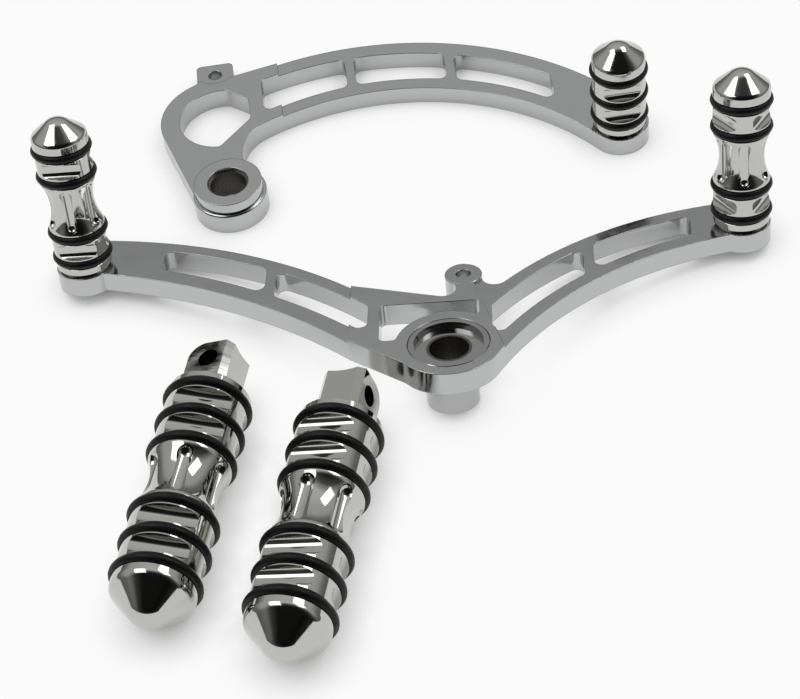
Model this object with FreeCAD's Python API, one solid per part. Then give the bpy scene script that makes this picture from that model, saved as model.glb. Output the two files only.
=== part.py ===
"""Motorbike control kit: a heel and toe shift lever, a brake lever and a pair of foot pegs.

All sizes are in millimetres. Each lever is drawn in its own plan frame, with the pivot at the
origin and the underside of the plate at z = 0, and is then laid on the floor at z = 0.
"""
import math
import os

import FreeCAD
import Part
from FreeCAD import Placement, Rotation, Vector

# Plates
ARM_T = 8.0
PAD_STEP = 1.2
PAD_T = ARM_T + PAD_STEP
FAR_RAIL = 5.5
TOE_NEAR_RAIL = 7.4
HEEL_NEAR_RAIL = 5.8
BRAKE_NEAR_RAIL = 6.2
SLOT_CORNER_R = 3.0
RIB = 4.0

# Shift lever plan
TOE_PEG_U = -145.4
TOE_PEG_V = 72.4
HEEL_PEG_U = 115.4
HEEL_PEG_V = 71.8
SHIFT_END_R = 11.4
TOE_END_BACK = 6.1
HEEL_END_BACK = 2.7
TOE_FAR_C_DU = -19.4
TOE_FAR_C_DV = -177.4
TOE_NEAR_C_DU = -53.3
TOE_NEAR_C_DV = -231.2
HEEL_FAR_C_DU = 10.6
HEEL_FAR_C_DV = -128.5
HEEL_NEAR_R = 138.0
HUB_R = 20.0
HUB_NOTCH_R = 6.0
HUB_NOTCH_BEARING = -143.1
PAD_TOE_REACH = 17.5
PAD_TOE_U = -HUB_R - PAD_TOE_REACH
PAD_FAR_SLOPE = -18.0
PAD_HEEL_INSET = 0.5
PAD_HEEL_U = HUB_R - PAD_HEEL_INSET
PAD_HEEL_LEAN = -14.0
LUG_U = 5.9
LUG_OUT = 25.0
LUG_R = 7.2
LUG_HOLE_R = 3.0
LUG_FILLET_R = 5.0
WINDOW_TOE_REACH = 6.0
WINDOW_FAR_REACH = 7.0
WINDOW_HEEL_INSET = 8.0
WINDOW_NEAR_V = 3.5
WINDOW_CORNER_R = 2.2
WINDOW_RIB = 4.5
TOE_SLOT_END_GAP = 32.0
TOE_RIB_U = -69.5
TOE_SLOT_IN_U = -HUB_R - WINDOW_TOE_REACH - WINDOW_RIB
HEEL_SLOT_INSET = 3.7
HEEL_SLOT_IN_U = HUB_R - HEEL_SLOT_INSET
HEEL_RIB_U = 54.5
HEEL_SLOT_END_GAP = 20.0
TOE_PEG = Vector(TOE_PEG_U, TOE_PEG_V, 0.0)
HEEL_PEG = Vector(HEEL_PEG_U, HEEL_PEG_V, 0.0)
TOE_END = TOE_PEG + Vector(0.0, TOE_END_BACK, 0.0)
HEEL_END = HEEL_PEG + Vector(0.0, HEEL_END_BACK, 0.0)
TOE_FAR_C = TOE_END + Vector(TOE_FAR_C_DU, TOE_FAR_C_DV, 0.0)
TOE_NEAR_C = TOE_END + Vector(TOE_NEAR_C_DU, TOE_NEAR_C_DV, 0.0)
HEEL_FAR_C = HEEL_END + Vector(HEEL_FAR_C_DU, HEEL_FAR_C_DV, 0.0)
LUG_C = Vector(LUG_U, HUB_R + LUG_OUT, 0.0)
TOE_SLOT_OUT_U = TOE_PEG_U + TOE_SLOT_END_GAP
HEEL_SLOT_OUT_U = HEEL_PEG_U - HEEL_SLOT_END_GAP

# Pivot of the shift lever
SLEEVE_FLANGE_R = 15.5
SLEEVE_FLANGE_T = 5.2
SLEEVE_DISH_R = 13.1
SLEEVE_DISH_DEPTH = 2.6
SLEEVE_SHANK_R = 10.0
SLEEVE_PROUD = 17.0
SLEEVE_EDGE = 0.5
BUSH_BORE_R = 7.5
BUSH_WALL = 1.0
BUSH_R = BUSH_BORE_R + BUSH_WALL

# Brake lever plan
BRAKE_PEG_U = 164.0
BRAKE_PEG_V = 9.0
BRAKE_END_R = 12.0
BRAKE_FAR_C_U = 59.6
BRAKE_FAR_C_V = -51.2
BRAKE_NEAR_C_U = 64.8
BRAKE_NEAR_C_V = -57.1
BRAKE_NECK_R = 20.0
BRAKE_PAD_U = 25.2
BOSS_R = 14.0
BOSS_PROUD = 5.0
BOSS_BUSH_SUNK = 1.6
LOOP_C_U = -1.0
LOOP_C_V = 46.0
LOOP_R = 26.0
LOOP_WALL = 8.0
LOOP_RIB_U = 14.4
LOOP_RIB_T = 6.0
ROD_LUG_U = -2.4
ROD_LUG_V = 78.0
ROD_LUG_R = 7.1
ROD_LUG_FILLET_R = 5.0
ROD_HOLE_R = 3.0
ROD_SPOT_R = 8.6
ROD_SPOT_DEPTH = 2.8
BRAKE_FAR_RAIL = 7.0
BRAKE_RIB_1_U = 56.3
BRAKE_RIB_2_U = 99.2
BRAKE_SLOT_END_GAP = 23.5
BRAKE_SLOT_OUT_U = BRAKE_PEG_U - BRAKE_SLOT_END_GAP
BRAKE_PEG = Vector(BRAKE_PEG_U, BRAKE_PEG_V, 0.0)
BRAKE_FAR_C = Vector(BRAKE_FAR_C_U, BRAKE_FAR_C_V, 0.0)
BRAKE_NEAR_C = Vector(BRAKE_NEAR_C_U, BRAKE_NEAR_C_V, 0.0)
LOOP_C = Vector(LOOP_C_U, LOOP_C_V, 0.0)
ROD_LUG_C = Vector(ROD_LUG_U, ROD_LUG_V, 0.0)

# Lever pegs
PEG_R = 11.0
PEG_FOOT_R = 9.6
PEG_FOOT_T = 0.8
PEG_CHAMFER = 0.8
PEG_FIRST_RING = 6.2
PEG_RING_PITCH = 11.3
PEG_WAIST_PITCH = 25.4
PEG_WAIST_R = 8.7
PEG_RIM = 4.4
PEG_DOME = 8.2
PEG_TIP_R = 6.0
PEG_RING_R = 12.0
PEG_RING_TUBE_R = 1.7

# Fixing screws of the lever pegs
SCREW_R = 4.0
SCREW_HEAD_R = 7.6
SCREW_GRIP = 14.0
SCREW_HOLE_GAP = 0.25
THREAD_GAP = 0.05
TAP_SPARE = 2.0
HEX_FLATS = 5.0
HEX_DEPTH = 2.6
HEAD_SUNK = 0.3

# Foot pegs
FOOT_R = 15.5
FOOT_FIRST_RING = 5.5
FOOT_RING_PITCH = 13.0
FOOT_WAIST_PITCH = 28.2
FOOT_WAIST_R = 12.9
FOOT_RIM = 4.6
FOOT_DOME = 12.6
FOOT_TIP_R = 8.5
FOOT_CHAMFER = 1.0
FOOT_RING_R = 17.0
FOOT_RING_TUBE_R = 2.0
TONGUE_T = 17.0
TONGUE_TIP_R = 8.0
TONGUE_REACH = 12.0
TONGUE_HOLE_R = 4.0
TONGUE_SCOOP_R = 30.0
TONGUE_SCOOP_DEPTH = 1.6

# Milled pockets and flutes
POCKETS = 3
POCKET_BOTTOM = 0.72
FLUTES = 6
FLUTE_SHARE = 0.235
FLUTE_SINK = 0.3
FLUTE_END_LAND = 0.7
RING_SIDE_GAP = 0.1

# Layout on the floor
SHIFT_AT = (17.9, -26.0)
SHIFT_YAW = -5.5
BRAKE_AT = (-60.4, 93.9)
BRAKE_YAW = 0.5
LEFT_FOOT_AT = (-71.9, -24.9)
LEFT_FOOT_HEADING = -105.3
LEFT_FOOT_ROLL = -72.0
RIGHT_FOOT_AT = (-24.7, -46.9)
RIGHT_FOOT_HEADING = -106.5
RIGHT_FOOT_ROLL = 17.0
Z_AXIS = Vector(0, 0, 1)


def unit(v):
    """Returns a copy of a vector with length one."""
    w = Vector(v)
    w.normalize()
    return w


def polar(centre, radius, degrees):
    """Returns the point at an angle on a circle in plan."""
    a = math.radians(degrees)
    return centre + Vector(radius * math.cos(a), radius * math.sin(a), 0)


def bearing(centre, point):
    """Returns the angle of a point about a centre, in degrees."""
    return math.degrees(math.atan2(point.y - centre.y, point.x - centre.x))


def arc(centre, start, end, ccw=True):
    """Returns the edge of an arc about a centre from one point to another."""
    a = bearing(centre, start)
    b = bearing(centre, end)
    if ccw and b <= a:
        b += 360.0
    if not ccw and b >= a:
        b -= 360.0
    middle = polar(centre, (start - centre).Length, 0.5 * (a + b))
    return Part.Arc(start, middle, end).toShape()


def line(start, end):
    """Returns a straight edge."""
    return Part.makeLine(start, end)


def circles_meet(c1, r1, c2, r2, near):
    """Returns the crossing of two circles that lies nearest to a hint."""
    d = c2 - c1
    dist = d.Length
    along = (r1 * r1 - r2 * r2 + dist * dist) / (2.0 * dist)
    across = math.sqrt(max(r1 * r1 - along * along, 0.0))
    e = unit(d)
    side = Vector(-e.y, e.x, 0)
    pair = [c1 + e * along + side * across, c1 + e * along - side * across]
    return min(pair, key=lambda p: (p - near).Length)


def line_meets_circle(point, direction, centre, radius, near):
    """Returns the crossing of a line and a circle that lies nearest to a hint."""
    e = unit(direction)
    foot = point + e * (centre - point).dot(e)
    half = math.sqrt(max(radius * radius - (foot - centre).Length ** 2, 0.0))
    return min([foot + e * half, foot - e * half], key=lambda p: (p - near).Length)


def at_u(centre, radius, u):
    """Returns the upper point of a circle at a given u."""
    return Vector(u, centre.y + math.sqrt(radius * radius - (u - centre.x) ** 2), 0)


def tangent_from(point, centre, radius, left):
    """Returns where a line from a point touches a circle, on its left or right side."""
    d = (centre - point).Length
    turn = math.degrees(math.acos(radius / d))
    back = bearing(centre, point)
    return polar(centre, radius, back + (turn if left else -turn))


def prism(edges, low, high):
    """Returns the solid between two heights over a closed plan outline."""
    face = Part.Face(Part.Wire(edges))
    face.translate(Vector(0, 0, low))
    return face.extrude(Vector(0, 0, high - low))


def polygon(points):
    """Returns the edges of a closed polygon in plan."""
    vs = [Vector(p[0], p[1], 0) for p in points]
    return [line(a, b) for a, b in zip(vs, vs[1:] + vs[:1])]


def cyl(radius, low, high, centre=Vector(0, 0, 0)):
    """Returns an upright cylinder between two heights."""
    return Part.makeCylinder(radius, high - low, Vector(centre.x, centre.y, low), Z_AXIS)


def round_upright(solid, radius):
    """Returns a prism with all its upright edges rounded."""
    upright = []
    for e in solid.Edges:
        a = e.Vertexes[0].Point
        b = e.Vertexes[-1].Point
        if abs(a.z - b.z) > 1.0 and math.hypot(a.x - b.x, a.y - b.y) < 1e-6:
            upright.append(e)
    return solid.makeFillet(radius, upright)


def slot(far_c, far_r, near_c, near_r, u1, u2, height):
    """Returns a through slot between two arcs and two straight ribs, with round corners."""
    f1 = at_u(far_c, far_r, u1)
    f2 = at_u(far_c, far_r, u2)
    n1 = at_u(near_c, near_r, u1)
    n2 = at_u(near_c, near_r, u2)
    edges = [arc(near_c, n1, n2, ccw=False), line(n2, f2), arc(far_c, f2, f1), line(f1, n1)]
    return round_upright(prism(edges, -1.0, height + 1.0), SLOT_CORNER_R)


class Arm:
    """One tapered arm between two circles that both touch its round end."""

    def __init__(self, end, end_r, far_c, near_c, far_rail, near_rail):
        self.end = end
        self.end_r = end_r
        self.far_c = far_c
        self.near_c = near_c
        self.far_rail = far_rail
        self.near_rail = near_rail
        self.far_r = (end - far_c).Length + end_r
        self.near_r = (end - near_c).Length - end_r
        self.far_end = end + unit(end - far_c) * end_r
        self.near_end = end - unit(end - near_c) * end_r

    def slot(self, u1, u2):
        """Returns the slot between two ribs."""
        return slot(self.far_c, self.far_r - self.far_rail, self.near_c,
                    self.near_r + self.near_rail, u1, u2, PAD_T)


def heel_near_centre():
    """Returns the centre of the heel arm's near edge, which touches the hub and the round end."""
    return circles_meet(Vector(0, 0, 0), HEEL_NEAR_R + HUB_R, HEEL_END,
                        HEEL_NEAR_R + SHIFT_END_R, Vector(HEEL_NEAR_R, -HEEL_NEAR_R, 0))


def shift_outline(toe, heel):
    """Returns the plan outline of the shift lever."""
    o = Vector(0, 0, 0)
    near_step = at_u(toe.near_c, toe.near_r, PAD_TOE_U)
    far_step = at_u(toe.far_c, toe.far_r, PAD_TOE_U)
    notch_c = polar(o, HUB_R + HUB_NOTCH_R, HUB_NOTCH_BEARING)
    notch_in = tangent_from(near_step, notch_c, HUB_NOTCH_R, left=False)
    notch_out = unit(notch_c) * HUB_R
    hub_out = unit(heel.near_c) * HUB_R
    back = polar(o, 1.0, PAD_FAR_SLOPE)
    up = Vector(-back.y, back.x, 0)
    lug_reach = LUG_R + LUG_FILLET_R
    f1 = line_meets_circle(far_step + up * LUG_FILLET_R, back, LUG_C, lug_reach,
                           LUG_C + Vector(-lug_reach, 0, 0))
    f2 = circles_meet(heel.far_c, heel.far_r + LUG_FILLET_R, LUG_C, lug_reach,
                      LUG_C + Vector(lug_reach, 0, 0))
    f2_in = heel.far_c + unit(f2 - heel.far_c) * heel.far_r
    f2_out = LUG_C + unit(f2 - LUG_C) * LUG_R
    f1_in = LUG_C + unit(f1 - LUG_C) * LUG_R
    f1_out = f1 - up * LUG_FILLET_R
    return [
        arc(toe.near_c, toe.near_end, near_step, ccw=False),
        line(near_step, notch_in),
        arc(notch_c, notch_in, notch_out, ccw=False),
        arc(o, notch_out, hub_out),
        arc(heel.near_c, hub_out, heel.near_end, ccw=False),
        arc(heel.end, heel.near_end, heel.far_end),
        arc(heel.far_c, heel.far_end, f2_in),
        arc(f2, f2_in, f2_out, ccw=False),
        arc(LUG_C, f2_out, f1_in),
        arc(f1, f1_in, f1_out, ccw=False),
        line(f1_out, far_step),
        arc(toe.far_c, far_step, toe.far_end),
        arc(toe.end, toe.far_end, toe.near_end),
    ]


def screw_seat(peg):
    """Returns the countersunk clearance hole for a peg screw, cut up from the underside."""
    hole = cyl(SCREW_R + SCREW_HOLE_GAP, -1.0, PAD_T + 1.0, peg)
    head = Part.makeCone(SCREW_HEAD_R, SCREW_R, SCREW_HEAD_R - SCREW_R,
                         Vector(peg.x, peg.y, HEAD_SUNK), Z_AXIS)
    return hole.fuse(head).fuse(cyl(SCREW_HEAD_R, -1.0, HEAD_SUNK, peg))


def make_shift_lever():
    """Returns the shift lever: slotted arms, a raised hub pad and a linkage lug."""
    toe = Arm(TOE_END, SHIFT_END_R, TOE_FAR_C, TOE_NEAR_C, FAR_RAIL, TOE_NEAR_RAIL)
    heel = Arm(HEEL_END, SHIFT_END_R, HEEL_FAR_C, heel_near_centre(), FAR_RAIL, HEEL_NEAR_RAIL)
    outline = shift_outline(toe, heel)
    lean = math.tan(math.radians(PAD_HEEL_LEAN))
    span = 4.0 * LUG_C.y
    pad_area = polygon([(PAD_TOE_U, -span), (PAD_HEEL_U - lean * span, -span),
                        (PAD_HEEL_U + lean * span, span), (PAD_TOE_U, span)])
    pad = prism(outline, 0.0, PAD_T).common(prism(pad_area, -1.0, PAD_T + 1.0))
    seats = [cyl(SHIFT_END_R, 0.0, ARM_T, c) for c in (TOE_PEG, HEEL_PEG)]
    body = prism(outline, 0.0, ARM_T).fuse([pad] + seats)
    half = 0.5 * RIB
    cuts = [
        toe.slot(TOE_SLOT_OUT_U, TOE_RIB_U - half),
        toe.slot(TOE_RIB_U + half, TOE_SLOT_IN_U),
        heel.slot(HEEL_SLOT_IN_U, HEEL_RIB_U - half),
        heel.slot(HEEL_RIB_U + half, HEEL_SLOT_OUT_U),
        shift_window(),
        cyl(LUG_HOLE_R, -1.0, PAD_T + 1.0, LUG_C),
        cyl(SLEEVE_SHANK_R, -1.0, PAD_T + 1.0),
        cyl(SLEEVE_FLANGE_R, PAD_T - SLEEVE_FLANGE_T, PAD_T + 1.0),
        screw_seat(TOE_PEG),
        screw_seat(HEEL_PEG),
    ]
    return body.cut(cuts).removeSplitter()


def shift_window():
    """Returns the window between the hub ring and the far rail of the pad."""
    u1 = -HUB_R - WINDOW_TOE_REACH
    u2 = HUB_R - WINDOW_HEEL_INSET
    v1 = WINDOW_NEAR_V
    v2 = HUB_R + WINDOW_FAR_REACH
    corner = Vector(u2, math.sqrt(HUB_R ** 2 - u2 ** 2), 0)
    inner = Vector(-math.sqrt(HUB_R ** 2 - v1 ** 2), v1, 0)
    a = Vector(u1, v1, 0)
    b = Vector(u1, v2, 0)
    c = Vector(u2, v2, 0)
    edges = [arc(Vector(0, 0, 0), inner, corner, ccw=False), line(corner, c), line(c, b),
             line(b, a), line(a, inner)]
    return round_upright(prism(edges, -1.0, PAD_T + 1.0), WINDOW_CORNER_R)


def make_sleeve():
    """Returns the flanged pivot sleeve that is pressed into the hub and stands out below it."""
    r1 = SLEEVE_SHANK_R - SLEEVE_EDGE
    flange_z = PAD_T - SLEEVE_FLANGE_T
    pts = [(BUSH_R, -SLEEVE_PROUD), (r1, -SLEEVE_PROUD),
           (SLEEVE_SHANK_R, -SLEEVE_PROUD + SLEEVE_EDGE), (SLEEVE_SHANK_R, flange_z),
           (SLEEVE_FLANGE_R, flange_z), (SLEEVE_FLANGE_R, PAD_T - SLEEVE_EDGE),
           (SLEEVE_FLANGE_R - SLEEVE_EDGE, PAD_T), (SLEEVE_DISH_R, PAD_T),
           (SLEEVE_DISH_R - SLEEVE_EDGE, PAD_T - SLEEVE_DISH_DEPTH),
           (BUSH_R, PAD_T - SLEEVE_DISH_DEPTH)]
    return revolve(pts)


def make_bush(low, high):
    """Returns a plain bearing bush between two heights."""
    return cyl(BUSH_R, low, high).cut(cyl(BUSH_BORE_R, low - 1.0, high + 1.0))


def revolve(points):
    """Returns the solid of a radius and height profile turned about the upright axis."""
    vs = [Vector(r, 0, z) for r, z in points]
    edges = [line(a, b) for a, b in zip(vs, vs[1:] + vs[:1])]
    return Part.Face(Part.Wire(edges)).revolve(Vector(0, 0, 0), Z_AXIS, 360)


def brake_outline(arm):
    """Returns the plan outline of the brake lever."""
    o = Vector(0, 0, 0)
    kink = at_u(arm.far_c, arm.far_r, BRAKE_PAD_U)
    lug_top = tangent_from(kink, ROD_LUG_C, ROD_LUG_R, left=False)
    fillet = circles_meet(LOOP_C, LOOP_R + ROD_LUG_FILLET_R, ROD_LUG_C,
                          ROD_LUG_R + ROD_LUG_FILLET_R, ROD_LUG_C + Vector(-LOOP_R, 0, 0))
    lug_end = ROD_LUG_C + unit(fillet - ROD_LUG_C) * ROD_LUG_R
    loop_start = LOOP_C + unit(fillet - LOOP_C) * LOOP_R
    d = LOOP_C.Length
    side = bearing(o, LOOP_C) + math.degrees(math.acos((BOSS_R - LOOP_R) / d))
    loop_end = polar(LOOP_C, LOOP_R, side)
    boss_start = polar(o, BOSS_R, side)
    neck = circles_meet(o, BOSS_R + BRAKE_NECK_R, arm.near_c, arm.near_r - BRAKE_NECK_R,
                        Vector(BOSS_R + BRAKE_NECK_R, BOSS_R, 0))
    boss_end = unit(neck) * BOSS_R
    neck_end = arm.near_c + unit(neck - arm.near_c) * arm.near_r
    return [
        arc(o, boss_start, boss_end),
        arc(neck, boss_end, neck_end, ccw=False),
        arc(arm.near_c, neck_end, arm.near_end, ccw=False),
        arc(arm.end, arm.near_end, arm.far_end),
        arc(arm.far_c, arm.far_end, kink),
        line(kink, lug_top),
        arc(ROD_LUG_C, lug_top, lug_end),
        arc(fillet, lug_end, loop_start, ccw=False),
        arc(LOOP_C, loop_start, loop_end),
        line(loop_end, boss_start),
    ]


def loop_window():
    """Returns the window inside the loop of the brake lever."""
    r = LOOP_R - LOOP_WALL
    u = LOOP_RIB_U - 0.5 * LOOP_RIB_T
    top = polar(LOOP_C, r, 80.0)
    low = polar(LOOP_C, r, -95.0)
    a = Vector(u, LOOP_C.y + 0.55 * r, 0)
    b = Vector(u, LOOP_C.y - 0.15 * r, 0)
    edges = [arc(LOOP_C, top, low), line(low, b), line(b, a), line(a, top)]
    return round_upright(prism(edges, -1.0, PAD_T + 1.0), SLOT_CORNER_R)


def make_brake_lever():
    """Returns the brake lever: a bowed slotted arm, a loop, a pivot boss and a rod lug."""
    arm = Arm(BRAKE_PEG, BRAKE_END_R, BRAKE_FAR_C, BRAKE_NEAR_C, BRAKE_FAR_RAIL, BRAKE_NEAR_RAIL)
    outline = brake_outline(arm)
    span = 4.0 * LOOP_R
    pad_area = polygon([(-span, -span), (BRAKE_PAD_U, -span), (BRAKE_PAD_U, span),
                        (-span, span)])
    pad = prism(outline, 0.0, PAD_T).common(prism(pad_area, -1.0, PAD_T + 1.0))
    body = prism(outline, 0.0, ARM_T).fuse(pad).fuse(cyl(BOSS_R, 0.0, PAD_T + BOSS_PROUD))
    half = 0.5 * RIB
    first = LOOP_RIB_U + 0.5 * LOOP_RIB_T
    cuts = [
        arm.slot(first, BRAKE_RIB_1_U - half),
        arm.slot(BRAKE_RIB_1_U + half, BRAKE_RIB_2_U - half),
        arm.slot(BRAKE_RIB_2_U + half, BRAKE_SLOT_OUT_U),
        loop_window(),
        cyl(BUSH_R, -1.0, PAD_T + BOSS_PROUD + 1.0),
        cyl(ROD_HOLE_R, -1.0, PAD_T + 1.0, ROD_LUG_C),
        cyl(ROD_SPOT_R, PAD_T - ROD_SPOT_DEPTH, PAD_T + 1.0, ROD_LUG_C),
        screw_seat(BRAKE_PEG),
    ]
    return body.cut(cuts).removeSplitter()


class PegForm:
    """The shared form of the lever pegs and foot pegs: rings, bands, waist and dome."""

    def __init__(self, radius, rings, ring_r, tube_r, rim, dome, tip_r, foot, waist=None):
        self.radius = radius
        self.rings = rings
        self.ring_r = ring_r
        self.tube_r = tube_r
        self.rim = rim
        self.dome = dome
        self.tip_r = tip_r
        self.foot = foot
        self.waist = waist
        self.half_groove = tube_r + RING_SIDE_GAP
        self.groove_r = ring_r - 2.0 * tube_r
        self.top = rings[-1] + rim + dome

    def profile(self):
        """Returns the closed edges of the turned profile."""
        pts = list(self.foot)
        edges = []
        place = Vector(pts[0][0], 0, pts[0][1])
        start = place
        for r, z in pts[1:]:
            nxt = Vector(r, 0, z)
            edges.append(line(place, nxt))
            place = nxt
        for i, z in enumerate(self.rings):
            if self.waist and i == self.waist[0]:
                w1, w2 = self.waist_span()
                a = Vector(self.radius, 0, w1)
                m = Vector(self.waist[1], 0, 0.5 * (w1 + w2))
                b = Vector(self.radius, 0, w2)
                edges.append(line(place, a))
                edges.append(Part.Arc(a, m, b).toShape())
                place = b
            for r, h in ((self.radius, -1), (self.groove_r, -1), (self.groove_r, 1),
                         (self.radius, 1)):
                nxt = Vector(r, 0, z + h * self.half_groove)
                edges.append(line(place, nxt))
                place = nxt
        rim_top = Vector(self.radius, 0, self.rings[-1] + self.rim)
        edges.append(line(place, rim_top))
        tip = Vector(0, 0, self.top)
        edges += self.dome_edges(rim_top, tip)
        edges.append(line(tip, start))
        return edges

    def dome_edges(self, rim_top, tip):
        """Returns the cone and the round tip, with the arc tangent to the cone."""
        c = Vector(0, 0, self.top - self.tip_r)
        touch_dir = tangent_from(Vector(rim_top.x, rim_top.z, 0), Vector(0, c.z, 0),
                                 self.tip_r, left=True)
        touch = Vector(touch_dir.x, 0, touch_dir.y)
        mid = unit(unit(touch - c) + Z_AXIS)
        return [line(rim_top, touch), Part.Arc(touch, c + mid * self.tip_r, tip).toShape()]

    def waist_span(self):
        """Returns the two heights between which the waist is turned."""
        i = self.waist[0]
        land = self.half_groove + 0.5 * self.tube_r
        return self.rings[i - 1] + land, self.rings[i] - land

    def bands(self):
        """Returns the pairs of rings that have milled pockets between them."""
        pairs = list(zip(self.rings, self.rings[1:]))
        if self.waist:
            pairs.pop(self.waist[0] - 1)
        return pairs

    def cutters(self):
        """Returns the pocket and flute cutters."""
        tools = []
        reach = 4.0 * self.radius
        for low, high in self.bands():
            r = 0.5 * (high - low) - self.half_groove - 0.25 * self.tube_r
            away = self.radius * POCKET_BOTTOM + r
            for k in range(POCKETS):
                a = 360.0 * k / POCKETS + 90.0
                p = polar(Vector(0, 0, 0), away, a) + Vector(0, 0, 0.5 * (low + high))
                t = polar(Vector(0, 0, 0), 1.0, a + 90.0)
                tools.append(Part.makeCylinder(r, reach, p - t * (0.5 * reach), t))
        if self.waist:
            w1, w2 = self.waist_span()
            r = FLUTE_SHARE * self.radius
            away = self.waist[1] + (1.0 - FLUTE_SINK) * r
            inset = r + FLUTE_END_LAND
            for k in range(FLUTES):
                p = polar(Vector(0, 0, 0), away, 360.0 * k / FLUTES + 30.0)
                ends = (p + Vector(0, 0, w1 + inset), p + Vector(0, 0, w2 - inset))
                rod = Part.makeCylinder(r, (ends[1] - ends[0]).Length, ends[0], Z_AXIS)
                tools.append(rod.fuse([Part.makeSphere(r, e) for e in ends]).removeSplitter())
        return tools

    def solid(self):
        """Returns the turned and milled peg, standing on z = 0."""
        turned = Part.Face(Part.Wire(self.profile())).revolve(Vector(0, 0, 0), Z_AXIS, 360)
        return turned.cut(self.cutters())

    def ring_solids(self):
        """Returns one ring for each groove."""
        return [Part.makeTorus(self.ring_r - self.tube_r, self.tube_r, Vector(0, 0, z), Z_AXIS)
                for z in self.rings]


def ring_heights(first, pitch, counts, gap):
    """Returns ring heights for groups at one pitch with a wider gap between the groups."""
    out = []
    z = first
    for n in counts:
        for k in range(n):
            out.append(z)
            z += pitch
        z += gap - pitch
    return out


def lever_peg_form(counts):
    """Returns the form of a lever peg with one or two groups of rings."""
    rings = ring_heights(PEG_FIRST_RING, PEG_RING_PITCH, counts, PEG_WAIST_PITCH)
    foot = [(0.0, 0.0), (PEG_FOOT_R, 0.0), (PEG_FOOT_R, PEG_FOOT_T),
            (PEG_R - PEG_CHAMFER, PEG_FOOT_T), (PEG_R, PEG_FOOT_T + PEG_CHAMFER)]
    waist = (counts[0], PEG_WAIST_R) if len(counts) > 1 else None
    return PegForm(PEG_R, rings, PEG_RING_R, PEG_RING_TUBE_R, PEG_RIM, PEG_DOME, PEG_TIP_R,
                   foot, waist)


def make_lever_peg(form):
    """Returns a lever peg with its tapped hole."""
    depth = SCREW_GRIP + TAP_SPARE
    return form.solid().cut(cyl(SCREW_R + THREAD_GAP, -1.0, depth))


def make_peg_screw():
    """Returns the countersunk screw that holds a lever peg, in the lever's frame."""
    low = HEAD_SUNK
    pts = [(0.0, low), (SCREW_HEAD_R, low), (SCREW_R, low + SCREW_HEAD_R - SCREW_R),
           (SCREW_R, ARM_T + SCREW_GRIP), (0.0, ARM_T + SCREW_GRIP)]
    corner = HEX_FLATS / math.sqrt(3.0)
    hexagon = polygon([(corner * math.cos(math.radians(60 * k)),
                        corner * math.sin(math.radians(60 * k))) for k in range(6)])
    return revolve(pts).cut(prism(hexagon, low - 1.0, low + HEX_DEPTH))


def foot_form():
    """Returns the turned form of a foot peg above its shoulder."""
    rings = ring_heights(FOOT_FIRST_RING, FOOT_RING_PITCH, (3, 3), FOOT_WAIST_PITCH)
    foot = [(0.0, 0.0), (FOOT_R - FOOT_CHAMFER, 0.0), (FOOT_R, FOOT_CHAMFER)]
    return PegForm(FOOT_R, rings, FOOT_RING_R, FOOT_RING_TUBE_R, FOOT_RIM, FOOT_DOME,
                   FOOT_TIP_R, foot, (3, FOOT_WAIST_R))


def make_footpeg(form):
    """Returns a one-piece foot peg with its mounting tongue below the shoulder."""
    r = TONGUE_TIP_R
    half = 0.5 * TONGUE_T
    root = 0.5 * FOOT_FIRST_RING
    a = Vector(-r, -half, root)
    b = Vector(-r, -half, -TONGUE_REACH)
    c = Vector(r, -half, -TONGUE_REACH)
    d = Vector(r, -half, root)
    tip = Vector(0, -half, -TONGUE_REACH - r)
    face = Part.Face(Part.Wire([line(a, b), Part.Arc(b, tip, c).toShape(), line(c, d),
                                line(d, a)]))
    tongue = face.extrude(Vector(0, TONGUE_T, 0))
    y_axis = Vector(0, 1, 0)
    hole = Part.makeCylinder(TONGUE_HOLE_R, 3.0 * TONGUE_T,
                             Vector(0, -1.5 * TONGUE_T, -TONGUE_REACH), y_axis)
    scoop_z = -TONGUE_REACH - r + TONGUE_SCOOP_DEPTH - TONGUE_SCOOP_R
    scoop = Part.makeCylinder(TONGUE_SCOOP_R, 4.0 * r, Vector(-2.0 * r, 0, scoop_z),
                              Vector(1, 0, 0))
    return form.solid().fuse(tongue).cut([hole, scoop]).removeSplitter()


def resting_turn(discs):
    """Finds how a piece lies when three of its round feet stand on the floor.

    Args:
        discs: three pairs of a centre and a radius, each a level disc in the piece's frame.

    Returns:
        The turn that stands the piece up and the height to lift it by.
    """
    a = b = k = 0.0
    for _ in range(60):
        s = math.hypot(a, b)
        m = FreeCAD.Matrix()
        rows = [(c.x, c.y, -1.0, r * s - c.z) for c, r in discs]
        m.A11, m.A12, m.A13 = rows[0][:3]
        m.A21, m.A22, m.A23 = rows[1][:3]
        m.A31, m.A32, m.A33 = rows[2][:3]
        x = m.inverse().multVec(Vector(rows[0][3], rows[1][3], rows[2][3]))
        a, b, k = x.x, x.y, x.z
    normal = Vector(a, b, 1.0)
    return Rotation(normal, Z_AXIS), -k / normal.Length


def lay(turn, lift, yaw, at):
    """Returns the placement of a piece whose plan origin goes over a spot on the floor."""
    spin = Rotation(Z_AXIS, yaw).multiply(turn)
    return Placement(Vector(at[0], at[1], lift), spin)


def moved(shape, placement):
    """Returns a copy of a one-solid shape moved by a placement."""
    out = shape.Solids[0].copy()
    out.transformShape(placement.toMatrix(), True)
    return out


def shift_placement():
    """Returns where the shift lever lies: on its sleeve and on the ends of both arms."""
    sleeve = (Vector(0, 0, -SLEEVE_PROUD), SLEEVE_SHANK_R - SLEEVE_EDGE)
    turn, lift = resting_turn([sleeve, (TOE_END, SHIFT_END_R), (HEEL_END, SHIFT_END_R)])
    return lay(turn, lift, SHIFT_YAW, SHIFT_AT)


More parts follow.
